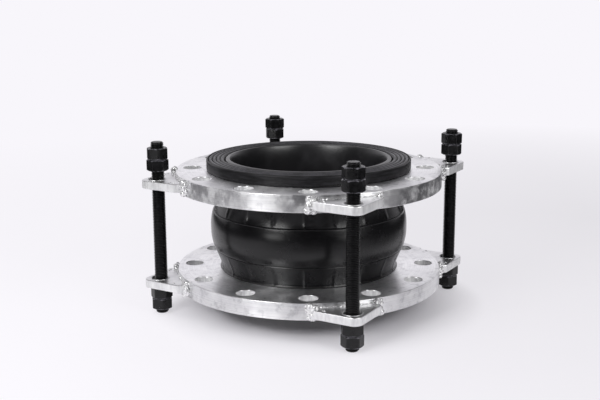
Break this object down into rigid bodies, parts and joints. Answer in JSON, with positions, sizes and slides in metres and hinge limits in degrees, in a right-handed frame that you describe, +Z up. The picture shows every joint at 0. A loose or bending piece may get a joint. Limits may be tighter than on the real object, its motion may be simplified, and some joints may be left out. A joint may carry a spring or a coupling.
{
  "type": "rubber expansion joint",
  "caption": "Short round rubber bellows between two drilled steel pipe flanges, held by limit rods through lugs, to take up movement and vibration in a pipe.",
  "frame": {"origin": "on the pipe axis, on the plane that the four rod ends stand on", "axes": "+Z up along the pipe axis; the limit rods stand on the X and Y axes, the front one at -Y"},
  "size_m": [0.4198, 0.4198, 0.216],
  "materials": {
    "cover_rubber": "satin moulded rubber",
    "liner_rubber": "matt moulded rubber",
    "cord_fabric": "rubberised nylon cord",
    "bead_wire": "drawn steel wire",
    "flange_zinc": "turned and zinc plated",
    "lug_zinc": "zinc plated plate",
    "weld_zinc": "zinc plated weld bead",
    "rod_black_oxide": "black oxide",
    "nut_black_oxide": "black oxide"
  },
  "bodies": {
    "lower_end": {"lower_flange": "flange_zinc", "lower_bead_ring": "bead_wire", "lower_front_lug": "lug_zinc", "lower_front_weld": "weld_zinc", "lower_right_lug": "lug_zinc", "lower_right_weld": "weld_zinc", "lower_back_lug": "lug_zinc", "lower_back_weld": "weld_zinc", "lower_left_lug": "lug_zinc", "lower_left_weld": "weld_zinc"},
    "rubber_body": {"outer_cover": "cover_rubber", "cord_fabric": "cord_fabric", "inner_liner": "liner_rubber"},
    "upper_end": {"upper_flange": "flange_zinc", "upper_bead_ring": "bead_wire", "upper_front_lug": "lug_zinc", "upper_front_weld": "weld_zinc", "upper_right_lug": "lug_zinc", "upper_right_weld": "weld_zinc", "upper_back_lug": "lug_zinc", "upper_back_weld": "weld_zinc", "upper_left_lug": "lug_zinc", "upper_left_weld": "weld_zinc"},
    "front_rod_set": {"front_rod": "rod_black_oxide", "front_bottom_jam_nut": "nut_black_oxide", "front_bottom_nut": "nut_black_oxide", "front_top_nut": "nut_black_oxide", "front_top_jam_nut": "nut_black_oxide"},
    "right_rod_set": {"right_rod": "rod_black_oxide", "right_bottom_jam_nut": "nut_black_oxide", "right_bottom_nut": "nut_black_oxide", "right_top_nut": "nut_black_oxide", "right_top_jam_nut": "nut_black_oxide"},
    "back_rod_set": {"back_rod": "rod_black_oxide", "back_bottom_jam_nut": "nut_black_oxide", "back_bottom_nut": "nut_black_oxide", "back_top_nut": "nut_black_oxide", "back_top_jam_nut": "nut_black_oxide"},
    "left_rod_set": {"left_rod": "rod_black_oxide", "left_bottom_jam_nut": "nut_black_oxide", "left_bottom_nut": "nut_black_oxide", "left_top_nut": "nut_black_oxide", "left_top_jam_nut": "nut_black_oxide"}
  },
  "joints": [
    {"name": "axial_travel", "type": "slide", "parent": "lower_end", "child": "rubber_body", "axis": [0, 0, 1], "range_m": [-0.018, 0.006], "stiffness_N_per_m": 120000, "springref_m": 0.0008, "deforming": ["outer_cover", "cord_fabric", "inner_liner"]},
    {"name": "tilt", "type": "hinge", "parent": "rubber_body", "child": "upper_end", "pos_m": [0, 0, 0.16455], "axis": [1, 0, 0], "range_deg": [-1.7, 1.7], "stiffness_Nm_per_rad": 1500},
    {"name": "front_rod_turn", "type": "hinge", "parent": "lower_end", "child": "front_rod_set", "pos_m": [0, -0.192, 0], "axis": [0, 0, 1], "continuous": true},
    {"name": "right_rod_turn", "type": "hinge", "parent": "lower_end", "child": "right_rod_set", "pos_m": [0.1932, 0, 0], "axis": [0, 0, 1], "continuous": true},
    {"name": "back_rod_turn", "type": "hinge", "parent": "lower_end", "child": "back_rod_set", "pos_m": [0, 0.192, 0], "axis": [0, 0, 1], "continuous": true},
    {"name": "left_rod_turn", "type": "hinge", "parent": "lower_end", "child": "left_rod_set", "pos_m": [-0.1904, 0, 0], "axis": [0, 0, 1], "continuous": true}
  ]
}
